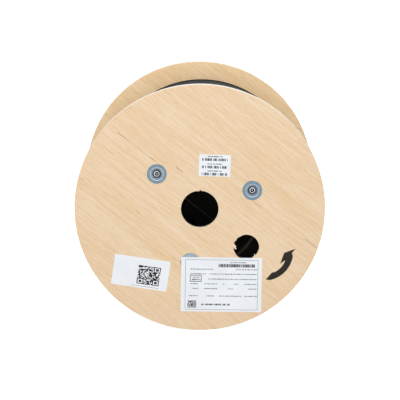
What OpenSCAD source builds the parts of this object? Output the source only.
// Plywood cable drum, wound with one length of thin round cable.
// The drum lies on its rims: its axis runs along Y, its front flange faces -Y and +Z is up.
// The origin is on the floor, under the middle of the drum.

/* [Flanges] */
// Outside diameter of each plywood flange
flange_d = 400; // [370:5:600]
// Thickness of the plywood
flange_t = 12; // [11:0.5:25]
// Chamfer on the sawn edges of the flanges
edge_ease = 0.8; // [0.2:0.1:1.5]
// Clear width between the two flanges
inner_w = 292; // [100:1:500]
// Diameter of the centre hole, which takes the spindle
spindle_d = 60; // [25:1:100]

/* [Cable start hole] */
// Diameter of the hole in the front flange that the start of the cable is led out of
start_hole_d = 40; // [15:1:50]
// How far the hole's centre lies inside the barrel's outer skin
start_hole_inset = 3; // [0:0.5:10]
// Direction of the hole from the drum's axis, anticlockwise from the right seen from the front
start_hole_angle = -40.5; // [-60:0.5:-20]

/* [Barrel] */
// Outside diameter of the barrel that the cable is wound on
barrel_d = 200; // [190:1:260]
// Wall of the barrel's tube
barrel_wall = 4; // [2:0.5:10]

/* [Cable] */
// Diameter of the cable
cable_d = 3; // [2.9:0.1:4]
// Number of layers wound on the barrel
cable_layers = 26; // [4:1:28]
// Rise from one layer of cable to the next
layer_rise = 2.64; // [2.3:0.01:2.8]
// Room between the winding and the barrel and flanges around it
winding_gap = 0.2; // [0.1:0.05:1]

/* [Tie rods] */
// Number of tie rods around the axis
rod_count = 3; // [3:1:3]
// Diameter of a tie rod
rod_d = 10; // [6:1:12]
// Direction of the first tie rod, anticlockwise from the right seen from the front
rod_angle = 19.2; // [5:0.1:35]
// Room between a tie rod and the inside of the barrel
rod_room = 2; // [0.5:0.5:6]
// Room around a tie rod in the holes that it passes through
rod_hole_room = 0.5; // [0.2:0.1:1.5]
// How deep each end of a tie rod stays below the flange's outer face
rod_end_sink = 1.5; // [0:0.1:2]
// Chamfer on the ends of a tie rod
rod_chamfer = 1; // [0.2:0.1:1.5]

/* [Nuts and cups] */
// Width of a nut across its flats
nut_af = 17; // [14:0.5:19]
// Height of a nut
nut_h = 5; // [3:0.5:5.5]
// Room between a nut's thread and the rod
thread_room = 0.15; // [0.05:0.05:0.3]
// Diameter of a cup washer's brim
brim_d = 31; // [28:0.5:40]
// Thickness of the sheet that a cup washer is pressed from
cup_sheet = 1.2; // [0.8:0.1:2]
// Depth of a cup washer below the flange's outer face
cup_depth = 8.5; // [8:0.1:10]
// Room between a nut's corners and the cup
nut_room = 0.7; // [0.3:0.1:1]
// Room between a cup washer and the plywood that it is sunk into
cup_room = 0.3; // [0.1:0.05:0.6]

/* [Hidden] */
$fn = 96;
// Overlap that carries each cut past the face it starts from
cut = 1;
flange_r = flange_d / 2;
overall_w = inner_w + 2 * flange_t;
barrel_r = barrel_d / 2;
start_hole_r = barrel_r - start_hole_inset;
rod_circle_r = barrel_r - barrel_wall - rod_room - rod_d / 2;
rod_hole_d = rod_d + 2 * rod_hole_room;
rod_len = overall_w - 2 * rod_end_sink;
winding_r_in = barrel_r + winding_gap;
winding_r_out = winding_r_in + cable_d + (cable_layers - 1) * layer_rise;
winding_w = inner_w - 2 * winding_gap;
// The top layer's turns lie side by side from flange to flange
top_turns = floor(winding_w / cable_d);
turn_pitch = winding_w / top_turns;
// A turn's round is drawn as a flat crest between two slopes, with a groove to the next turn
turn_slope = 0.2 * cable_d;
turn_groove = 0.4 * cable_d;
nut_corner_d = nut_af / cos(30);
nut_chamfer = (nut_corner_d - nut_af) / 2;
cup_in_d = nut_corner_d + 2 * nut_room;
cup_out_d = cup_in_d + 2 * cup_sheet;
// Rounding of the cup's mouth, drawn as a chamfer
mouth_ease = cup_sheet / 2;

plywood = [0.91, 0.81, 0.68];
inner_ply = [0.88, 0.76, 0.60];
kraft_board = [0.42, 0.33, 0.25];
cable_black = [0.17, 0.17, 0.18];
blue_zinc = [0.55, 0.63, 0.69];
bright_zinc = [0.72, 0.74, 0.76];

// Lays the drum down: in its own frame the axis is Z, the front flange is on top and the middle is at zero
module laid() {
    translate([0, 0, flange_r]) rotate([90, 0, 0]) children();
}

// Puts a piece on one side of the drum, with Z = 0 on that flange's outer face and +Z outwards
module on_face(front) {
    rotate([front ? 0 : 180, 0, 0]) translate([0, 0, overall_w / 2]) children();
}

function rod_direction(i) = rod_angle + (i - 1) * 360 / rod_count;

// Puts a piece at tie rod i on the front or the back; the back is turned over, so its angles run the other way
module at_rod(i, front) {
    on_face(front) rotate([0, 0, front ? rod_direction(i) : -rod_direction(i)])
        translate([rod_circle_r, 0, 0]) children();
}

// A round disc with both edges chamfered, from Z = -thick up to 0
module eased_disc(d, thick, ease) {
    r = d / 2;
    rotate_extrude() polygon([
        [0, -thick], [r - ease, -thick], [r, -thick + ease], [r, -ease], [r - ease, 0], [0, 0]
    ]);
}

// What is cut from a flange for one tie rod: its hole, the cup's pocket and the seat of the brim
module rod_seat() {
    translate([0, 0, -flange_t - cut]) cylinder(d = rod_hole_d, h = flange_t + 2 * cut);
    translate([0, 0, -cup_depth - cup_room])
        cylinder(d = cup_out_d + 2 * cup_room, h = cup_depth + cup_room + cut);
    translate([0, 0, -cup_sheet]) cylinder(d = brim_d + 2 * cup_room, h = cup_sheet + cut);
}

module flange(front) {
    difference() {
        on_face(front) eased_disc(flange_d, flange_t, edge_ease);
        on_face(front) translate([0, 0, -flange_t - cut]) cylinder(d = spindle_d, h = flange_t + 2 * cut);
        for (i = [1:rod_count]) at_rod(i, front) rod_seat();
        if (front)
            on_face(front) rotate([0, 0, start_hole_angle]) translate([start_hole_r, 0, -flange_t - cut])
                cylinder(d = start_hole_d, h = flange_t + 2 * cut);
    }
}

module front_flange() {
    color(plywood) laid() flange(true);
}

module back_flange() {
    color(inner_ply) laid() flange(false);
}

module barrel() {
    color(kraft_board) laid() difference() {
        cylinder(d = barrel_d, h = inner_w, center = true);
        cylinder(d = barrel_d - 2 * barrel_wall, h = inner_w + 2 * cut, center = true);
    }
}

// Where the round of one layer ends and that of the layer above it begins, on the ends of the roll
function layer_line(layer) = winding_r_in + cable_d / 2 + (layer - 0.5) * layer_rise;

// The top layer in section, from the back to the front: a crest for each turn, and the grooves between them
function top_outline() = [
    for (turn = [0:top_turns - 1]) let (low = turn * turn_pitch - winding_w / 2) each concat(
        turn > 0 ? [[winding_r_out - turn_groove, low]] : [],
        [[winding_r_out, low + turn_slope], [winding_r_out, low + turn_pitch - turn_slope]]
    )
];

// The front end in section, from the top layer in to the bore: a crest for each layer, and the grooves
function end_outline() = [
    for (layer = [cable_layers - 1:-1:0])
        let (high = layer == cable_layers - 1 ? winding_r_out : layer_line(layer + 1))
        let (low = layer == 0 ? winding_r_in : layer_line(layer)) each concat(
            [[high - turn_slope, winding_w / 2], [low + turn_slope, winding_w / 2]],
            layer > 0 ? [[low, winding_w / 2 - turn_groove]] : [[low, winding_w / 2 - turn_slope]]
        )
];

// One turned roll: its top layer shows all round as ridges, and the layers below it show on both ends
module cable_winding() {
    front = end_outline();
    back = [for (i = [len(front) - 1:-1:0]) [front[i][0], -front[i][1]]];
    color(cable_black) laid() rotate_extrude() polygon(concat(top_outline(), front, back));
}

module tie_rod(i) {
    r = rod_d / 2;
    h = rod_len / 2;
    color(bright_zinc) laid() rotate([0, 0, rod_direction(i)]) translate([rod_circle_r, 0, 0])
        rotate_extrude() polygon([
            [0, -h], [r - rod_chamfer, -h], [r, -h + rod_chamfer],
            [r, h - rod_chamfer], [r - rod_chamfer, h], [0, h]
        ]);
}

// A pressed washer: a flat brim flush with the plywood, and a cup below it with a hole for the rod
module cup_washer(i, front) {
    r_hole = rod_hole_d / 2;
    r_in = cup_in_d / 2;
    r_out = cup_out_d / 2;
    r_brim = brim_d / 2;
    color(blue_zinc) laid() at_rod(i, front) rotate_extrude() polygon([
        [r_hole, -cup_depth], [r_out, -cup_depth], [r_out, -cup_sheet], [r_brim, -cup_sheet], [r_brim, 0],
        [r_in + mouth_ease, 0], [r_in, -mouth_ease], [r_in, cup_sheet - cup_depth], [r_hole, cup_sheet - cup_depth]
    ]);
}

// A hexagon nut that sits on the floor of its cup, with both ends chamfered
module hex_nut(i, front) {
    r_flat = nut_af / 2;
    r_corner = nut_corner_d / 2 + cut;
    rise = nut_chamfer / 2;
    color(bright_zinc) laid() at_rod(i, front) translate([0, 0, cup_sheet - cup_depth]) difference() {
        intersection() {
            cylinder(d = nut_corner_d, h = nut_h, $fn = 6);
            rotate_extrude() polygon([
                [0, 0], [r_flat, 0], [r_corner, rise * (r_corner - r_flat) / nut_chamfer],
                [r_corner, nut_h - rise * (r_corner - r_flat) / nut_chamfer], [r_flat, nut_h], [0, nut_h]
            ]);
        }
        translate([0, 0, -cut]) cylinder(d = rod_d + 2 * thread_room, h = nut_h + 2 * cut);
    }
}

front_flange();
back_flange();
barrel();
cable_winding();
for (i = [1:rod_count]) {
    tie_rod(i);
    cup_washer(i, true);
    cup_washer(i, false);
    hex_nut(i, true);
    hex_nut(i, false);
}
